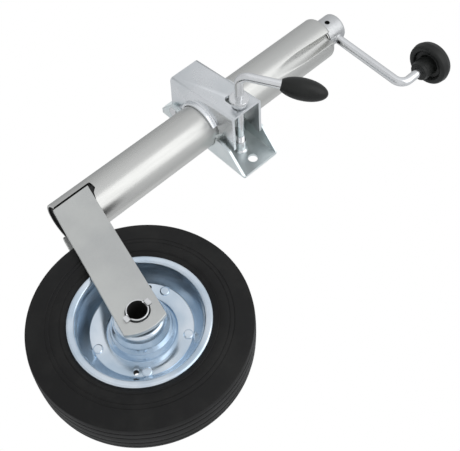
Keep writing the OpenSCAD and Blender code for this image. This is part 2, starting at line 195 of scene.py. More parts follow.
def prism(outline, low, high):
    """A closed outline in X and Y, as a solid from one height to another."""
    n = len(outline)
    points = [(p[0], p[1], z) for z in (low, high) for p in outline]
    faces = [(j, (j + 1) % n, n + (j + 1) % n, n + j) for j in range(n)]
    return points, faces + [tuple(range(n)), tuple(range(n, 2 * n))]


def along_x(section, low, high):
    """A closed section in Y and Z, as a solid from one X to another."""
    points, faces = prism(section, low, high)
    return [(z, x, y) for x, y, z in points], faces


def rod(path, radius, sides=32):
    """A round bar along a path of 3-D points. radius is a number, or a function of (step, angle)."""
    radius_at = radius if callable(radius) else lambda step, angle: radius
    path = [Vector(p) for p in path]
    ways = [(b - a).normalized() for a, b in zip(path, path[1:])]
    ways = [ways[0]] + [(a + b).normalized() for a, b in zip(ways, ways[1:])] + [ways[-1]]
    across = ways[0].orthogonal().normalized()
    points = []
    for i, (place, way) in enumerate(zip(path, ways)):
        across = (across - way * across.dot(way)).normalized()
        other = way.cross(across)
        for k in range(sides):
            a = 2 * pi * k / sides
            points.append(place + (across * cos(a) + other * sin(a)) * radius_at(i, a))
    faces = []
    for i in range(len(path) - 1):
        low = i * sides
        faces += [
            (low + k, low + (k + 1) % sides, low + sides + (k + 1) % sides, low + sides + k)
            for k in range(sides)
        ]
    top = (len(path) - 1) * sides
    return points, faces + [tuple(range(sides)), tuple(range(top, top + sides))]


def joined(*solids):
    """Several solids as one list of points and faces."""
    points, faces = [], []
    for solid_points, solid_faces in solids:
        base = len(points)
        points += list(solid_points)
        faces += [tuple(base + i for i in face) for face in solid_faces]
    return points, faces


def placed(solid, matrix):
    return [matrix @ Vector(p) for p in solid[0]], solid[1]


# ---------------------------------------------------------------- objects

def build(name, solid, place):
    """A Blender object from (points, faces), placed in the frame."""
    mesh = bpy.data.meshes.new(name)
    mesh.from_pydata([place @ Vector(p) for p in solid[0]], [], solid[1])
    work = bmesh.new()
    work.from_mesh(mesh)
    bmesh.ops.remove_doubles(work, verts=work.verts, dist=0.002 * MM)
    bmesh.ops.recalc_face_normals(work, faces=work.faces)
    work.to_mesh(mesh)
    work.free()
    piece = bpy.data.objects.new(name, mesh)
    bpy.context.scene.collection.objects.link(piece)
    return piece


def settle(piece):
    """Applies a piece's modifiers to its mesh."""
    graph = bpy.context.evaluated_depsgraph_get()
    mesh = bpy.data.meshes.new_from_object(piece.evaluated_get(graph))
    piece.modifiers.clear()
    piece.data = mesh


def combine(piece, solid, place, how="DIFFERENCE"):
    """Cuts a solid from a piece, or joins it on with how="UNION", or keeps what both share."""
    tool = build("tool", solid, place)
    modifier = piece.modifiers.new("combine", "BOOLEAN")
    modifier.object = tool
    modifier.operation = how
    modifier.solver = "EXACT"
    settle(piece)
    bpy.data.objects.remove(tool)


def soften(piece, width, segments=2, above=35):
    """Rounds a piece's edges by a width in millimetres."""
    modifier = piece.modifiers.new("soften", "BEVEL")
    modifier.width = width * MM
    modifier.segments = segments
    modifier.limit_method = "ANGLE"
    modifier.angle_limit = radians(above)
    modifier.harden_normals = True
    piece.data.shade_smooth()
    settle(piece)


def finish(piece, node, material, sharp=32, inside=None, dark=None):
    """Puts a piece in place of its CAD node, on that node's body, in a material.

    inside(centre, normal) says which faces get painted shade, chiefly the walls of a bore; they take the
    dark material, which paints on the shade inside the hole: the one given as dark, or else the near-black
    bore shade.
    """
    piece.data.shade_smooth()
    if sharp:
        piece.data.set_sharp_from_angle(angle=radians(sharp))
    piece.data.materials.clear()
    piece.data.materials.append(material)
    if inside:
        piece.data.materials.append(dark or BORE_PAINTED_SHADE)
        for face in piece.data.polygons:
            face.material_index = int(inside(face.center / MM, face.normal))
    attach(piece, BODY_OF[node])
    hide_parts(node)
    return piece


# ---------------------------------------------------------------- materials

class Shader:
    """A short way to write a material's node tree."""

    def __init__(self, name):
        self.material = bpy.data.materials.new(name)
        self.material.use_nodes = True
        self.tree = self.material.node_tree
        self.surface = self.tree.nodes["Principled BSDF"]
        self.place = self.add("ShaderNodeTexCoord").outputs["Object"]

    def add(self, kind, **values):
        node = self.tree.nodes.new(kind)
        for key, value in values.items():
            setattr(node, key, value)
        return node

    def link(self, source, target):
        self.tree.links.new(source, target)

    def noise(self, scale, detail=3, stretch=(1, 1, 1), roughness=0.5):
        """A noise pattern; scale is in patterns per metre, and stretch squeezes it along X, Y or Z."""
        mapping = self.add("ShaderNodeMapping")
        mapping.inputs["Scale"].default_value = stretch
        self.link(self.place, mapping.inputs["Vector"])
        node = self.add("ShaderNodeTexNoise")
        node.inputs["Scale"].default_value = scale
        node.inputs["Detail"].default_value = detail
        node.inputs["Roughness"].default_value = roughness
        self.link(mapping.outputs["Vector"], node.inputs["Vector"])
        return node.outputs["Fac"]

    def ramp(self, value, low, high, start=0.35, end=0.65):
        """Maps a pattern onto a range of numbers."""
        node = self.add("ShaderNodeMapRange")
        node.inputs["From Min"].default_value = start
        node.inputs["From Max"].default_value = end
        node.inputs["To Min"].default_value = low
        node.inputs["To Max"].default_value = high
        self.link(value, node.inputs["Value"])
        return node.outputs["Result"]

    def colours(self, value, first, second):
        """Mixes two colours by a number from 0 to 1."""
        node = self.add("ShaderNodeMix", data_type="RGBA")
        self.link(value, node.inputs["Factor"])
        node.inputs["A"].default_value = (*first, 1)
        node.inputs["B"].default_value = (*second, 1)
        return node.outputs["Result"]

    def added(self, first, second):
        node = self.add("ShaderNodeMath", operation="ADD")
        self.link(first, node.inputs[0])
        self.link(second, node.inputs[1])
        return node.outputs["Value"]

    def bump(self, height, strength, distance):
        node = self.add("ShaderNodeBump")
        node.inputs["Strength"].default_value = strength
        node.inputs["Distance"].default_value = distance
        self.link(height, node.inputs["Height"])
        self.link(node.outputs["Normal"], self.surface.inputs["Normal"])


def zinc(name, light, dark, roughness, streaks=(1, 1, 1), spread=0.06, grain=0.15):
    """Plated steel: cloudy in colour, uneven in gloss, with fine marks along the way it was worked."""
    shader = Shader(name)
    surface = shader.surface
    surface.inputs["Metallic"].default_value = 1
    clouds = shader.noise(28, detail=4, stretch=streaks)
    marks = shader.noise(420, detail=2, stretch=streaks, roughness=0.6)
    shader.link(shader.colours(shader.ramp(clouds, 0, 1), light, dark), surface.inputs["Base Color"])
    gloss = shader.ramp(clouds, roughness - spread, roughness + spread)
    fine = grain / 5
    shader.link(shader.added(gloss, shader.ramp(marks, -fine, fine)), surface.inputs["Roughness"])
    shader.bump(marks, grain, 0.05 * MM)
    return shader.material


def moulded(name, colour, worn, roughness, grain_scale, grain, shine=0.5):
    """Moulded rubber or plastic: dark, with a fine grain and paler scuffs. Also used for the near-black
    painted shade on the walls of bores.
    """
    shader = Shader(name)
    surface = shader.surface
    surface.inputs["Specular IOR Level"].default_value = shine
    scuffs = shader.noise(35, detail=5, roughness=0.65)
    fine = shader.noise(grain_scale, detail=2)
    tint = shader.colours(shader.ramp(scuffs, 0, 1, 0.45, 0.75), colour, worn)
    shader.link(tint, surface.inputs["Base Color"])
    shader.link(shader.ramp(scuffs, roughness - 0.06, roughness + 0.08), surface.inputs["Roughness"])
    shader.bump(fine, grain, 0.08 * MM)
    return shader.material


LENGTHWISE = (1, 1, 0.06)
TUBE_ZINC = zinc("tube_zinc", (0.62, 0.62, 0.60), (0.54, 0.545, 0.53), 0.34, LENGTHWISE)
CLAMP_ZINC = zinc("clamp_zinc", (0.86, 0.88, 0.90), (0.77, 0.80, 0.82), 0.3, grain=0.03)
BASE_ZINC = zinc("base_zinc", (0.86, 0.91, 0.91), (0.74, 0.81, 0.82), 0.36, grain=0.03)
FORK_ZINC = zinc("fork_zinc", (0.66, 0.67, 0.65), (0.60, 0.61, 0.60), 0.46, spread=0.04)
BRIGHT_ZINC = zinc("bright_zinc", (0.82, 0.83, 0.84), (0.74, 0.75, 0.76), 0.18, grain=0.02)
# Painted shade: a near-black material for the walls of bores, holes and tubes, standing in for the shade
# inside them.
BORE_PAINTED_SHADE = moulded("bore_painted_shade", (0.012, 0.012, 0.012), (0.03, 0.03, 0.03), 0.7, 500, 0.2)
# Painted shade: dark zinc on the inner tube's bore and on its outside below the notches, standing in for the
# shade in the gap between tube and fork leg.
NOTCH_PAINTED_SHADE = zinc("notch_painted_shade", (0.10, 0.10, 0.10), (0.04, 0.04, 0.04), 0.5)
CAST_ZINC = zinc("cast_zinc", (0.66, 0.67, 0.67), (0.56, 0.57, 0.58), 0.38, grain=0.3)
RIM_ZINC = zinc("rim_zinc", (0.76, 0.83, 0.90), (0.54, 0.65, 0.76), 0.17, grain=0.06)
RUBBER = moulded("tyre_rubber", (0.008, 0.008, 0.008), (0.018, 0.018, 0.017), 0.55, 900, 0.2, shine=0.22)
PLASTIC = moulded("black_plastic", (0.009, 0.010, 0.009), (0.016, 0.017, 0.016), 0.42, 1400, 0.1, shine=0.34)


# ---------------------------------------------------------------- tubes

TUBE_R = size("outer_tube").x / 2
TUBE_LOW = lo("outer_tube").z - JACK.z
TUBE_TOP = hi("outer_tube").z - JACK.z
INNER_R = size("inner_tube").x / 2
WALL = TUBE_R - INNER_R - 0.3
FLUTE_LEN = 91
FLUTE_DEPTH = 9
FLUTE_R = 5.5
FLUTE_TURN = radians(9)
FLUTES = [radians(a) for a in (-46, 74, 194)]
NOTCH_TOP = 60
# Below this height the inner tube is painted dark, as painted shade for the gap seen through the notches.
PAINTED_SHADE_TOP = NOTCH_TOP + 2


def smaller(a, b, blend):
    """The smaller of two values, blended where they are close."""
    mix = max(0, blend - abs(a - b)) / blend
    return min(a, b) - mix * mix * blend / 4


def tube_radius(angle, z):
    """The outer tube's outside radius: round below, and pressed into three round grooves at the top."""
    along = max(0, (z - TUBE_TOP + FLUTE_LEN) / FLUTE_LEN)
    shoulder = 3
    past = max(0, z - TUBE_TOP + shoulder)
    turned_over = shoulder - sqrt(shoulder * shoulder - past * past)
    out = TUBE_R - turned_over
    for flute in FLUTES:
        away = (angle - flute + pi) % (2 * pi) - pi
        if along and abs(away) < 0.5:
            side = abs(TUBE_R * sin(away))
            early = 1 - along
            nose = FLUTE_R + 1.4 + 2 * early
            floor = FLUTE_DEPTH * along - nose + sqrt(max(0, nose * nose - side * side))
            wall = 3.2 * (FLUTE_R + 0.9 + 1.4 * early - side)
            depth = smaller(floor, wall, 0.8)
            out = TUBE_R - turned_over + smaller(0, -depth, 1.1)
    return out


def tube_bore(centre, normal):
    """True for a face that looks at the tube's axis; these faces get painted shade."""
    away = Vector((centre.x - JACK.x, centre.y - JACK.y, 0))
    return normal.dot(away) < -0.3 * away.length


def flute_angles():
    """The angles round the tube at which its mesh has points: closer together at the grooves."""
    fine, coarse, half = 0.45, 3, 18
    out = []
    for flute in FLUTES:
        start = flute * 180 / pi
        out += [start - half + fine * i for i in range(round(2 * half / fine))]
        out += [start + half + coarse * i for i in range(round((120 - 2 * half) / coarse))]
    return [radians(a) for a in out]


def notch_outline(left):
    """A notch for a fork leg: its top drops along the leg's upper edge."""
    top = NOTCH_TOP
    right = 12.1
    return rounded([
        (left, TUBE_LOW - 5), (right, TUBE_LOW - 5), (right, top - 7, 1), (6, top - 4.4, 1.5),
        (2.5, top, 1.5), (left, top, 2),
    ], steps=6)


def outer_tube():
    """The outer tube, with its crimped top and the two notches for the fork."""
    angles = flute_angles()
    sides = len(angles)
    plain, crimped, rolled = 6, 36, 6
    start, roll = TUBE_TOP - FLUTE_LEN, 3
    heights = [TUBE_LOW + (start - TUBE_LOW) * i / plain for i in range(plain)]
    heights += [start + (FLUTE_LEN - roll) * i / crimped for i in range(crimped)]
    heights += [TUBE_TOP - roll + roll * sin(pi / 2 * i / rolled) * 0.96 for i in range(rolled + 1)]
    edge = 0.4
    loop = [(z, 0) for z in heights]
    loop[0] = (TUBE_LOW + edge, 0)
    loop += [(TUBE_TOP, WALL - edge)]
    loop += [(z, WALL) for z in reversed(heights[1:])]
    loop += [(TUBE_LOW + edge, WALL), (TUBE_LOW, WALL - edge), (TUBE_LOW, edge)]
    points = []
    for angle in angles:
        for z, inset in loop:
            r = tube_radius(angle, z) - inset
            a = angle + FLUTE_TURN * max(0, z - start) / FLUTE_LEN
            points.append((r * cos(a), r * sin(a), z))
    n = len(loop)
    faces = []
    for k in range(sides):
        a, b = k * n, (k + 1) % sides * n
        faces += [(a + j, b + j, b + (j + 1) % n, a + (j + 1) % n) for j in range(n)]
    piece = build("outer_tube_body", (points, faces), AT_JACK)
    for left, low, high in ((-7.2, 0, 2 * TUBE_R), (-3.3, -2 * TUBE_R, 0)):
        slot = placed(prism(notch_outline(left), low, high), Matrix.Rotation(pi / 2, 4, "X"))
        combine(piece, slot, AT_JACK)
    finish(piece, "outer_tube", TUBE_ZINC, sharp=40, inside=tube_bore)


def painted_shade_zone(centre, normal):
    """True for the inner tube's bore, and for its outside where the fork is welded on: faces that get
    painted shade, standing in for the dark gap seen through the notches.
    """
    return tube_bore(centre, normal) or centre.z - JACK.z < PAINTED_SHADE_TOP


def inner_tube():
    """The inner tube, with painted shade on its bore and on its outside where it carries the fork."""
    low = lo("inner_tube").z - JACK.z
    high = hi("inner_tube").z - JACK.z
    edge = 0.5
    inside = INNER_R - WALL
    outline = rounded([
        (inside, low, edge), (INNER_R, low, edge), (INNER_R, PAINTED_SHADE_TOP),
        (INNER_R, high, edge), (inside, high, edge),
    ], steps=3)
    piece = build("inner_tube_body", lathe(outline), AT_JACK)
    finish(piece, "inner_tube", TUBE_ZINC, inside=painted_shade_zone, dark=NOTCH_PAINTED_SHADE)


# ---------------------------------------------------------------- clamp

SHEET = 3
BEND = 2.2
LIP_H = 6
CLAMP_BACK = hi("clamp_base").y - CLAMP.y
BASE_HALF = size("clamp_base").x / 2
BASE_H = size("clamp_base").z
SEAT_R = TUBE_R + 0.35


def clamp_base():
    """The bent channel, with sloping flanges, seats for the tube and two bolt holes."""
    half = BASE_H / 2 - SHEET / 2
    back = CLAMP_BACK - SHEET / 2
    front = -4
    section = sheet_outline(
        [(front, -half), (back, -half, BEND), (back, half, BEND), (front, half)], SHEET, edge=0)
    piece = build("clamp_base_channel", along_x(section, -BASE_HALF, BASE_HALF), AT_CLAMP)
    shoulder, lip, past = (45, 4, 4), (35, 1, 6), 5
    right = [(BASE_HALF + past, CLAMP_BACK + past), (BASE_HALF + past, CLAMP_BACK - SHEET),
             (BASE_HALF, CLAMP_BACK - SHEET), shoulder, lip]
    left = [(-p[0], *p[1:]) for p in reversed(right)]
    combine(piece, prism(rounded(right + left), -BASE_H, BASE_H), AT_CLAMP, "INTERSECT")
    combine(piece, prism(arc((0, 0), SEAT_R, 0, 354, 118), -BASE_H, BASE_H), AT_CLAMP)
    left_round, right_round = 8, 3
    plate = rounded([(-BASE_HALF, -BASE_H / 2, left_round), (BASE_HALF, -BASE_H / 2, right_round),
                     (BASE_HALF, BASE_H / 2, right_round), (-BASE_HALF, BASE_H / 2, left_round)])
    upright = Matrix.Rotation(pi / 2, 4, "X")
    combine(piece, placed(prism(plate, -BASE_H, BASE_H), upright), AT_CLAMP, "INTERSECT")
    spacing = RECORD["mounts"][0]["dims"]["spacing_x_mm"]
    hole_r = RECORD["mounts"][0]["dims"]["hole_r_mm"]
    for side in (-1, 1):
        drill = placed(prism(circle((0, 0), hole_r, 36), -9, 9), upright)
        combine(piece, placed(drill, Matrix.Translation((side * spacing / 2, CLAMP_BACK, 0))), AT_CLAMP)
    soften(piece, 0.5)
    finish(piece, "clamp_base", BASE_ZINC, sharp=0)


def clamp_cap():
    """The hinged cap: a sloping channel arched over the tube, with two lips turned out along it."""
    left, right = -47.5, 45.5
    rise_left, rise_right = 31, 41.5
    half = size("clamp_cap").z / 2 - LIP_H - SHEET / 2
    tilt = atan2(rise_right - rise_left, right - left)
    depth = 70
    long = 80
    section = sheet_outline(
        [(depth, -half), (SHEET / 2, -half, BEND), (SHEET / 2, half, BEND), (depth, half)], SHEET, edge=0)
    middle = Vector(((left + right) / 2, -(rise_left + rise_right) / 2, 0))
    sloped = Matrix.Translation(middle) @ Matrix.Rotation(-tilt, 4, "Z")
    piece = build("clamp_cap_channel", placed(along_x(section, -long, long), sloped), AT_CLAMP)
    hinge = mid("hinge_pin") - CLAMP
    arch_r = TUBE_R + 2
    over = 12
    outline = rounded([
        (left, -rise_left - over), (left, -rise_left, 1),
        (hinge.x - 8, hinge.y - 4, 6), (hinge.x - 8, hinge.y + 8, 8),
        (hinge.x + 6, hinge.y + 8, 5), (-arch_r - 3, 7, 2), (-arch_r - 0.3, 0, 2),
        (arch_r, 0, 2), (right + 1.5, 6.6, 2), (right, -rise_right, 1), (right, -rise_right - over),
    ])
    combine(piece, prism(outline, -long, long), AT_CLAMP, "INTERSECT")
    combine(piece, prism(arc((0, 0), arch_r, 0, 354, 118), -long, long), AT_CLAMP)
    pin_r = 4.15
    combine(piece, prism(circle((hinge.x, hinge.y), pin_r, 60), -long, long), AT_CLAMP)
    slot_r = 5.5
    slot = arc((17 + slot_r, 0), slot_r, 90, 270, 14) + arc((42.5 - slot_r, 0), slot_r, -90, 90, 14)
    combine(piece, placed(prism(slot, TUBE_R + 2, long), Matrix.Rotation(pi / 2, 4, "X")), AT_CLAMP)
    soften(piece, 0.5)
    lip_t = 2.8
    lip_r = SEAT_R + lip_t / 2
    tip = size("clamp_cap").z / 2
    lip = sheet_outline([(lip_r + 6, half), (lip_r, half, 4), (lip_r, tip)], lip_t, edge=0.6)
    for way in (1, -1):
        solid = lathe([(p[0], way * p[1]) for p in lip], steps=60, start=-165, sweep=132)
        combine(piece, solid, AT_CLAMP, "UNION")
    finish(piece, "clamp_cap", CLAMP_ZINC, sharp=30)


# ---------------------------------------------------------------- clamp screw

ARM = radians(36.5)
ARM_DROP = radians(9)
ARM_Y = 81.8
ROD_R = 4.5
GRIP_LEN = 46
GRIP_R = 11
ARM_REACH = 87


def bend_path(z_from, z_corner, bend, reach, lean=0, steps=12):
    """A path up Z to a corner, round it towards +X and down by an angle, to a distance from the corner."""
    turn = pi / 2 + lean
    inset = bend * tan(turn / 2)
    path = [(0, 0, z_from)]
    for i in range(steps + 1):
        a = turn * i / steps
        path.append((bend - bend * cos(a), 0, z_corner - inset + bend * sin(a)))
    path.append((reach * cos(lean), 0, z_corner - reach * sin(lean)))
    return path


def clamp_screw():
    """The bent rod, with a rolled thread on its lower end."""
    low = CLAMP.y - hi("clamp_screw").y
    thread_top = low + 22
    pitch = 1.5
    crest_r, core_r = 4.85, 4.1
    rings = 14
    steps = int(ceil((thread_top - low) / pitch * rings))
    stretch = [(0, 0, low + (thread_top - low) * i / steps) for i in range(steps + 1)]
    bent = bend_path(thread_top + 1, ARM_Y, 9, ARM_REACH - GRIP_LEN + 13, ARM_DROP)
    upper = [Matrix.Rotation(ARM, 3, "Z") @ Vector(p) for p in bent]

    def thread(step, angle):
        if step > steps:
            return ROD_R
        height = step / rings - angle / (2 * pi)
        wave = abs((height % 1) * 2 - 1)
        ends = min(1, step / rings, (steps - step) / rings)
        flank = crest_r - (crest_r - core_r) * min(1, max(0, wave * 1.25 - 0.1))
        return flank * ends + (core_r if step < rings else ROD_R) * (1 - ends)

    piece = build("clamp_screw_rod", rod(stretch + upper, thread, sides=36), AT_SCREW)
    finish(piece, "clamp_screw", BRIGHT_ZINC, sharp=50)


def clamp_washers():
    """The washer, and the domed collar above it."""
    z = -hi("clamp_washer").y + CLAMP.y
    r = size("clamp_washer").x / 2
    t = size("clamp_washer").y
    bore = ROD_R + 0.3
    outline = rounded([(bore, z, 0.2), (r, z, 0.5), (r, z + t, 0.5), (bore, z + t, 0.2)], steps=3)
    finish(build("clamp_washer_plain", lathe(outline), AT_SCREW), "clamp_washer", BRIGHT_ZINC)
    z = -hi("screw_collar").y + CLAMP.y
    r = size("screw_collar").x / 2
    t = size("screw_collar").y
    outline = rounded([
        (ROD_R, z), (r, z, 0.6), (r, z + t - 0.3, 0.9), (ROD_R + 1.8, z + t - 0.3, 1.4),
        (ROD_R + 0.1, z + t), (ROD_R, z + t),
    ], steps=4)
    finish(build("screw_collar_flange", lathe(outline), AT_SCREW), "screw_collar", BRIGHT_ZINC)


def screw_boss():
    """The boss that takes the screw, with its weld on the base plate."""
    foot = CLAMP.y - hi("screw_boss").y
    top = CLAMP.y - lo("screw_boss").y
    r = size("screw_boss").x / 2
    bore = r - 1.05
    outline = rounded([
        (bore, foot), (8, foot), (7.6, foot + 1.4, 1.2), (r, foot + 2.6, 1.5),
        (r, top, 0.7), (bore, top, 0.3),
    ], steps=4)
    finish(build("screw_boss_sleeve", lathe(outline, steps=64), AT_SCREW), "screw_boss", BRIGHT_ZINC)


def clamp_grip():
    """The grip: most of an ellipse turned round its long axis, with a hollow mouth for the rod."""
    steps = 40
    cut = radians(150)
    long_half = GRIP_LEN / (1 - cos(cut))
    blind = 12
    outline = [(ROD_R + 0.05, blind), (ROD_R + 0.05, 0.6), (ROD_R + 0.5, 0.1)]
    for i in range(steps + 1):
        a = cut * (1 - i / steps)
        outline.append((max(0.01, GRIP_R * sin(a)), max(0.1, GRIP_LEN - long_half * (1 - cos(a)))))
    outline.append((0.01, blind))
    leaning = Matrix.Translation((0, 0, ARM_Y)) @ Matrix.Rotation(pi / 2 + ARM_DROP, 4, "Y")
    turn = Matrix.Rotation(ARM, 4, "Z") @ leaning @ Matrix.Translation((0, 0, ARM_REACH - GRIP_LEN))
    piece = build("clamp_grip_egg", placed(lathe(outline, steps=72), turn), AT_SCREW)
    finish(piece, "clamp_grip", PLASTIC, sharp=50)


# ---------------------------------------------------------------- crank

CRANK_TURN = atan2(KNOB.y - JACK.y, KNOB.x - JACK.x)
AT_CRANK = AT_JACK @ Matrix.Rotation(CRANK_TURN, 4, "Z")
THROW = hypot(KNOB.x - JACK.x, KNOB.y - JACK.y)
CRANK_R = 5
CRANK_START = 11
HEAD_LOW = lo("crank_head").z - JACK.z
HEAD_TOP = hi("crank_head").z - JACK.z
HEAD_R = size("crank_head").x / 2
ROD_Z = lo("crank_rod").z - JACK.z + CRANK_R
PIN_Z = mid("crank_pin").z - JACK.z
PIN_R = size("crank_pin").z / 2
SPINDLE_R = size("lift_spindle").x / 2


def crank_head():
    """The cast head, with a bore for the lifting screw, a cross hole for the pin and the rod's weld."""
    rings = 14
    side = [(HEAD_R, HEAD_LOW + (HEAD_TOP - HEAD_LOW - 5) * i / rings) for i in range(1, rings)]
    outline = rounded([
        (0.01, HEAD_LOW), (HEAD_R, HEAD_LOW, 0.8), *side, (HEAD_R, HEAD_TOP, 5), (0.01, HEAD_TOP),
    ], steps=10)
    piece = build("crank_head_boss", lathe(outline, steps=96), AT_JACK)
    along = Matrix.Rotation(pi / 2, 4, "Y")
    pin_hole = placed(prism(circle((0, 0), PIN_R + 0.1, 24), -2 * HEAD_R, 2 * HEAD_R), along)
    across = Matrix.Translation((0, 0, PIN_Z)) @ Matrix.Rotation(pi / 2, 4, "Z")
    combine(piece, placed(pin_hole, across), AT_CRANK)
    bore = prism(circle((0, 0), SPINDLE_R + 0.05, 45), HEAD_LOW - 1, PIN_Z + 6.5)
    combine(piece, bore, AT_JACK)
    bead = rounded([
        (CRANK_R - 1, -3), (CRANK_R - 1, 1, 0.4), (CRANK_R + 0.3, 0.8, 0.8),
        (CRANK_R + 1.2, -0.6, 0.8), (CRANK_R + 1.4, -3),
    ], steps=4)
    bead = placed(lathe(bead, steps=48), Matrix.Translation((HEAD_R, 0, ROD_Z)) @ along)
    combine(piece, bead, AT_CRANK, "UNION")
    finish(piece, "crank_head", CAST_ZINC, sharp=40, inside=pin_bore)


def pin_bore(centre, normal):
    """True for a face on the wall of the pin's hole; these faces get painted shade."""
    local = AT_CRANK.inverted() @ (centre * MM)
    return hypot(local.x, local.z - PIN_Z) < PIN_R + 0.2


def crank_pin():
    """The roll pin: a split sleeve."""
    sunk = 4
    reach = size("crank_pin").y / 2 - sunk
    section = arc((0, 0), PIN_R, 8, 352, 30) + arc((0, 0), PIN_R - 1, 352, 8, 30)
    solid = placed(prism(section, -reach, reach), Matrix.Rotation(pi / 2, 4, "X"))
    piece = build("crank_roll_pin", placed(solid, Matrix.Translation((0, 0, PIN_Z))), AT_CRANK)
    finish(piece, "crank_pin", BRIGHT_ZINC, sharp=40, inside=sleeve_bore)


def sleeve_bore(centre, normal):
    """True for a face inside the roll pin's sleeve; these faces get painted shade."""
    local = AT_CRANK.inverted() @ (centre * MM)
    return hypot(local.x, local.z - PIN_Z) < PIN_R - 0.8


def crank_rod():
    """The bent rod, riveted over at its top end."""
    top = hi("crank_rod").z - JACK.z - ROD_Z
    path = [(p[2], 0, p[0]) for p in bend_path(CRANK_START, THROW, 11, top - 2, steps=16)]
    bar = rod(path, CRANK_R, sides=40)
    head = rounded([(0.01, top - 2), (7, top - 2, 0.3), (6, top - 0.4, 1.5), (0.01, top)], steps=4)
    rivet = placed(lathe(head, steps=48), Matrix.Translation((THROW, 0, 0)))
    piece = build("crank_rod_bar", joined(bar, rivet), AT_CRANK @ Matrix.Translation((0, 0, ROD_Z)))
    finish(piece, "crank_rod", BRIGHT_ZINC, sharp=40)


def crank_knob():
    """The mushroom knob, dished underneath round its boss."""
    low = lo("crank_knob").z - JACK.z
    top = hi("crank_knob").z - JACK.z
    r = size("crank_knob").x / 2
    disc = top - 18
    bore = CRANK_R + 0.1
    recess = top - 5.3
    outline = rounded([
        (bore, low), (10, low, 1), (10.6, low + 3.5, 0.5), (11.3, low + 4.2, 0.5), (11, disc + 5.5, 1.5),
        (16, disc + 5, 2.5), (18, disc + 0.3, 2), (r - 1.2, disc + 0.4, 5),
        (r, disc + 8, 4), (r - 3, top - 1.5, 7),
        (9, top, 1.5), (8, recess, 0.4), (bore, recess),
    ], steps=7)
    at_knob = AT_JACK @ Matrix.Translation((KNOB.x - JACK.x, KNOB.y - JACK.y, 0))
    finish(build("crank_knob_mushroom", lathe(outline, steps=96), at_knob), "crank_knob", PLASTIC, sharp=40)


# ---------------------------------------------------------------- fork and axle

REACH = WHEEL.x - JACK.x
BAR_W = 40
BAR_T = 5
TAB_Y = INNER_R
TAB_LEFT = -3
TAB_RIGHT = 12
FORK_HALF = 36
DROP = atan2(35, REACH - TAB_LEFT)
SPLAY = (FORK_HALF - BAR_T - TAB_Y) / (REACH - TAB_RIGHT)
HUB_HOLE_R = 11


def splayed(x):
    """How far a leg has bent out at x: nothing along the tube, then a soft bend into a straight slope."""
    soft = 9
    past = x - TAB_RIGHT
    if past < -soft:
        return 0
    if past < soft:
        return SPLAY * (past + soft) ** 2 / (4 * soft)
    return SPLAY * past


def fork_leg(node, side):
    """A flat bar cut square at the tube and round at the hub, bent where it leaves the tube."""
    end_r = 38.5
    half_angle = degrees(asin(BAR_W / 2 / end_r))
    tip = arc((20.6 - end_r, 0), end_r, -half_angle, half_angle, 12)
    bar = [(-170, -BAR_W / 2)] + tip + [(-170, BAR_W / 2)]
    turn = Matrix.Translation((REACH, 0, 0)) @ Matrix.Rotation(-DROP, 4, "Z")
    solid = placed(prism(bar, 0, BAR_T), turn)
    piece = build(node + "_bar", solid, SCALE)
    past = 300
    keep = prism([(TAB_LEFT, -past), (past, -past), (past, past), (TAB_LEFT, past)], -past, past)
    combine(piece, keep, SCALE, "INTERSECT")
    combine(piece, prism(circle((REACH, 0), HUB_HOLE_R, 45), -past, past), SCALE)
    work = bmesh.new()
    work.from_mesh(piece.data)
    for i in range(13):
        x = (TAB_RIGHT + 1.5 * (i - 6)) * MM
        geometry = list(work.verts) + list(work.edges) + list(work.faces)
        bmesh.ops.bisect_plane(work, geom=geometry, plane_co=(x, 0, 0), plane_no=(1, 0, 0))
    for vertex in work.verts:
        x, up, out = (c / MM for c in vertex.co)
        out += TAB_Y + splayed(x)
        vertex.co = AT_JACK @ Vector((x, side * out, up))
    bmesh.ops.recalc_face_normals(work, faces=work.faces)
    work.to_mesh(piece.data)
    work.free()
    soften(piece, 0.7, segments=3, above=40)
    finish(piece, node, FORK_ZINC, sharp=0)


def axle_tube():
    """A rolled tube with a seam, and two tabs at each end bent out over the fork."""
    r = 10
    wall = 1.2
    half = size("axle_tube").y / 2
    edge = 0.3
    outline = rounded(
        [(r - wall, -half, edge), (r, -half, edge), (r, half, edge), (r - wall, half, edge)], steps=3)
    piece = build("axle_sleeve", lathe(outline, steps=96), AT_WHEEL)
    seam = prism([(r - 3, -0.25), (r + 2, -0.25), (r + 2, 0.25), (r - 3, 0.25)], -50, 50)
    combine(piece, placed(seam, Matrix.Rotation(radians(-100), 4, "Z")), AT_WHEEL)
    width = 5.6
    for end in (-1, 1):
        window = prism([(-width / 2 - 0.5, -20), (width / 2 + 0.5, -20), (width / 2 + 0.5, 20),
                        (-width / 2 - 0.5, 20)], half - 1.6, half + 1)
        combine(piece, placed(window, Matrix.Scale(end, 4, (0, 0, 1))), AT_WHEEL)
        for way in (-1, 1):
            strip = sheet_outline(
                [(r - wall / 2, half - 8), (r - wall / 2, half - 1, 1.2), (r + 4, half - 1)], wall, edge=0.3)
            section = [(way * p[0], end * p[1]) for p in strip]
            combine(piece, along_x(section, -width / 2, width / 2), AT_WHEEL, "UNION")
    finish(piece, "axle_tube", BRIGHT_ZINC, sharp=35, inside=axle_bore)


def axle_bore(centre, normal):
    """True for a face that looks at the axle's axis; these faces get painted shade."""
    away = Vector((centre.x - WHEEL.x, 0, centre.z - WHEEL.z))
    return normal.dot(away) < -0.3 * away.length and away.length < 9.2


# ---------------------------------------------------------------- wheel

WHEEL_R = size("tyre").x / 2
TYRE_HALF = size("tyre").y / 2
RIM_R = size("rim_front").x / 2
DISC_Y = 2.8
RIVET_CIRCLE = 41.5
RIVETS = [38 + 72 * i for i in range(5)]
VENTS = (-47, 131)
VENT_R = 2.5


def ring_groove(radius, face):
    """The outline of a fine groove moulded round the tyre's side."""
    wide, deep = 0.7, 0.5
    return [(radius - wide, face), (radius, face - deep, 0.2), (radius + wide, face)]


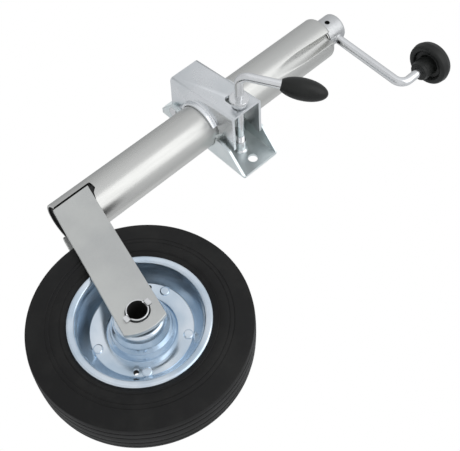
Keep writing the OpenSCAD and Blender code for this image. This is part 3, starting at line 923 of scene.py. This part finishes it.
def tyre():
    """The solid tyre: a ribbed tread, square shoulders, three fine moulded rings and the bead."""
    half = TYRE_HALF
    side = [
        (47.5, 0.6), (49.5, 6.2, 2), (57.2, 19.2, 2), (58.6, 20.4, 1), (64.2, 20.6, 1),
        (RIM_R + 2.4, half - 1.4, 1.5), (RIM_R + 5, half - 0.5, 1),
        *ring_groove(69, half - 0.15), *ring_groove(77.5, half - 0.15), *ring_groove(81.5, half - 0.6),
        (WHEEL_R - 8, half - 2.3, 4), (WHEEL_R - 1.2, half - 3.4, 0.9),
    ]
    tread = []
    for centre in (13, 5):
        for offset, depth in ((0.7, 0), (0.4, 1.3), (-0.4, 1.3), (-0.7, 0)):
            w = centre + offset
            crown = (w / half) ** 2
            tread.append((WHEEL_R - crown - depth, w, 0.25))
    upper = side + tread
    lower = [(p[0], -p[1], *p[2:]) for p in reversed(upper)]
    outline = rounded(upper + [(WHEEL_R, 0)] + lower, steps=3)
    finish(build("tyre_ring", lathe(outline, steps=192), AT_WHEEL), "tyre", RUBBER, sharp=45)


def disc_hole(angle, radius):
    """A cutter through the wheel's disc. Angles go from +X towards +Z, seen from the front."""
    a = radians(-angle)
    return prism(circle((RIVET_CIRCLE * cos(a), RIVET_CIRCLE * sin(a)), radius, 24), -12, 12)


def vent_bore(centre, normal):
    """True for a face on the wall of a vent hole; these faces get painted shade."""
    local = AT_WHEEL.inverted() @ (centre * MM)
    angles = [radians(-angle) for angle in VENTS]
    places = [Vector((RIVET_CIRCLE * cos(a), RIVET_CIRCLE * sin(a))) for a in angles]
    return abs(normal.y) < 0.5 and any((local.xy - place).length < VENT_R + 0.1 for place in places)


def pressing(node, way, path, holes):
    """One pressed half of the wheel, from its centre line, with holes drilled through its disc."""
    outline = [(p[0], way * p[1]) for p in sheet_outline(path, 1.6, steps=8)]
    piece = build(node + "_pressing", lathe(outline, steps=192), AT_WHEEL)
    for angle in holes:
        combine(piece, disc_hole(angle, VENT_R), AT_WHEEL)
    finish(piece, node, RIM_ZINC, sharp=35, inside=vent_bore)


def rim_half(node, way):
    """The rim's disc, wall and rolled lip."""
    pressing(node, way, [
        (31.5, DISC_Y), (46.2, DISC_Y, 2.2), (49.6, DISC_Y + 5, 5), (RIM_R - 8.8, 16.5, 5),
        (RIM_R - 7.2, 21.6, 2.6), (RIM_R - 2, 22.6, 3.4), (RIM_R - 0.6, 19.6),
    ], VENTS)


def hub_cup(node, way):
    """The deep-drawn cup, bell-shaped from its flange to its flat end."""
    end = 27.5 - 0.8
    pressing(node, way, [
        (45, 1.05), (31, 1.05, 4.5), (27, 8, 4), (25.6, 15.5, 8), (22.8, 21, 6),
        (21.2, end, 3.2), (12.1, end),
    ], VENTS)


def rivets():
    """The rivets, each with a low flat head on both sides of the disc."""
    face = DISC_Y + 0.8
    half = [(4.5, face + 0.02), (4.5, face + 0.75, 0.35), (3.4, face + 1.2, 0.8), (0.01, face + 1.25)]
    other = [(p[0], -p[1], *p[2:]) for p in reversed(half)]
    outline = rounded(other + [(2.5, -face), (2.5, face)] + half, steps=4)
    solids = []
    for angle in RIVETS:
        a = radians(-angle)
        place = Matrix.Translation((RIVET_CIRCLE * cos(a), RIVET_CIRCLE * sin(a), 0))
        solids.append(placed(lathe(outline, steps=40), place))
    finish(build("rim_rivet_set", joined(*solids), AT_WHEEL), "rim_rivets", RIM_ZINC, sharp=35)


# ---------------------------------------------------------------- stage

def camera():
    """A camera at the photograph's viewing angle, rolled so that the tube runs to the upper right."""
    data = bpy.data.cameras.new("camera")
    data.sensor_width = 36
    data.lens = 65.36
    data.clip_start = 0.05
    data.clip_end = 50
    eye = bpy.data.objects.new("camera", data)
    bpy.context.scene.collection.objects.link(eye)
    azimuth, elevation, roll = radians(26.79), radians(21.55), radians(51.07)
    ahead = Vector((-sin(azimuth) * cos(elevation), cos(azimuth) * cos(elevation), sin(elevation)))
    turn = ahead.to_track_quat("-Z", "Y").to_matrix() @ Matrix.Rotation(roll, 3, "Z")
    eye.matrix_world = Matrix.Translation((0.4449, -0.6886, -0.3790)) @ turn.to_4x4()
    bpy.context.scene.camera = eye


def lamp(name, at, width, height, power):
    """A soft box that faces the middle of the jack."""
    data = bpy.data.lights.new(name, "AREA")
    data.shape = "RECTANGLE"
    data.size = width
    data.size_y = height
    data.energy = power
    light = bpy.data.objects.new(name, data)
    bpy.context.scene.collection.objects.link(light)
    target = (cad_box[0] + cad_box[1]) / 2
    light.location = at
    light.rotation_mode = "QUATERNION"
    light.rotation_quaternion = (target - Vector(at)).to_track_quat("-Z", "Y")


# The room is brightest on the side that faces the front of the wheel and the right of the tube.
BRIGHT_SIDE = (0.56, -0.83, 0)


def studio():
    """A pale floor, a white backdrop and soft light. The wheel stays off the floor at its lowest."""
    joints = {joint["name"]: joint for joint in RECORD["behaviour"]["joints"]}
    drop = joints["carriage_lift"]["range_m"][1] - joints["tube_slide"]["range_m"][0]
    floor_z = cad_box[0].z - drop - 0.02
    half = 3
    corners = [(-half, -half, 0), (half, -half, 0), (half, half, 0), (-half, half, 0)]
    floor = build("floor", (corners, [(0, 1, 2, 3)]), Matrix.Translation((0, 0, floor_z)))
    shader = Shader("floor_paint")
    patches = shader.noise(2, detail=2)
    paint = shader.colours(patches, (0.86, 0.86, 0.86), (0.9, 0.9, 0.9))
    shader.link(paint, shader.surface.inputs["Base Color"])
    shader.surface.inputs["Roughness"].default_value = 0.7
    floor.data.materials.append(shader.material)
    world = bpy.data.worlds.new("studio")
    bpy.context.scene.world = world
    world.use_nodes = True
    tree = world.node_tree
    seen = tree.nodes["Background"]
    seen.inputs["Color"].default_value = (1, 1, 1, 1)
    lit = tree.nodes.new("ShaderNodeBackground")
    place = tree.nodes.new("ShaderNodeTexCoord")
    side = tree.nodes.new("ShaderNodeVectorMath")
    side.operation = "DOT_PRODUCT"
    side.inputs[1].default_value = BRIGHT_SIDE
    fade = tree.nodes.new("ShaderNodeValToRGB")
    fade.color_ramp.elements[0].color = (0.40, 0.41, 0.42, 1)
    fade.color_ramp.elements[1].color = (0.92, 0.93, 0.95, 1)
    turn = tree.nodes.new("ShaderNodeMapRange")
    turn.inputs["From Min"].default_value = -1
    tree.links.new(place.outputs["Generated"], side.inputs[0])
    tree.links.new(side.outputs["Value"], turn.inputs["Value"])
    tree.links.new(turn.outputs["Result"], fade.inputs["Fac"])
    tree.links.new(fade.outputs["Color"], lit.inputs["Color"])
    ray = tree.nodes.new("ShaderNodeLightPath")
    mix = tree.nodes.new("ShaderNodeMixShader")
    tree.links.new(ray.outputs["Is Camera Ray"], mix.inputs["Fac"])
    tree.links.new(lit.outputs["Background"], mix.inputs[1])
    tree.links.new(seen.outputs["Background"], mix.inputs[2])
    tree.links.new(mix.outputs["Shader"], tree.nodes["World Output"].inputs["Surface"])
    lamp("key", (1.2, -1.1, 0.65), 1.9, 1.5, 7)
    lamp("back", (0.2, 1.5, 0.6), 1.4, 1.2, 1.5)
    bpy.context.scene.view_settings.view_transform = "Standard"


PLAIN_NODES = {
    "hinge_pin": BRIGHT_ZINC, "top_bush": PLASTIC, "thrust_washer": TUBE_ZINC,
    "lift_spindle": BRIGHT_ZINC, "spindle_collar": BRIGHT_ZINC, "thrust_race": BRIGHT_ZINC,
    "spindle_nut": BRIGHT_ZINC, "hub_bush": PLASTIC,
}


def plain_nodes():
    """CAD nodes whose shape is right as it is get their material."""
    for node, material in PLAIN_NODES.items():
        mesh = frame["nodes"][node].data
        mesh.materials.clear()
        mesh.materials.append(material)


camera()
studio()
outer_tube()
inner_tube()
clamp_base()
clamp_cap()
screw_boss()
clamp_screw()
clamp_washers()
clamp_grip()
crank_head()
crank_pin()
crank_rod()
crank_knob()
fork_leg("fork_leg_front", -1)
fork_leg("fork_leg_rear", 1)
axle_tube()
tyre()
rim_half("rim_front", -1)
rim_half("rim_rear", 1)
hub_cup("hub_cup_front", -1)
hub_cup("hub_cup_rear", 1)
rivets()
plain_nodes()
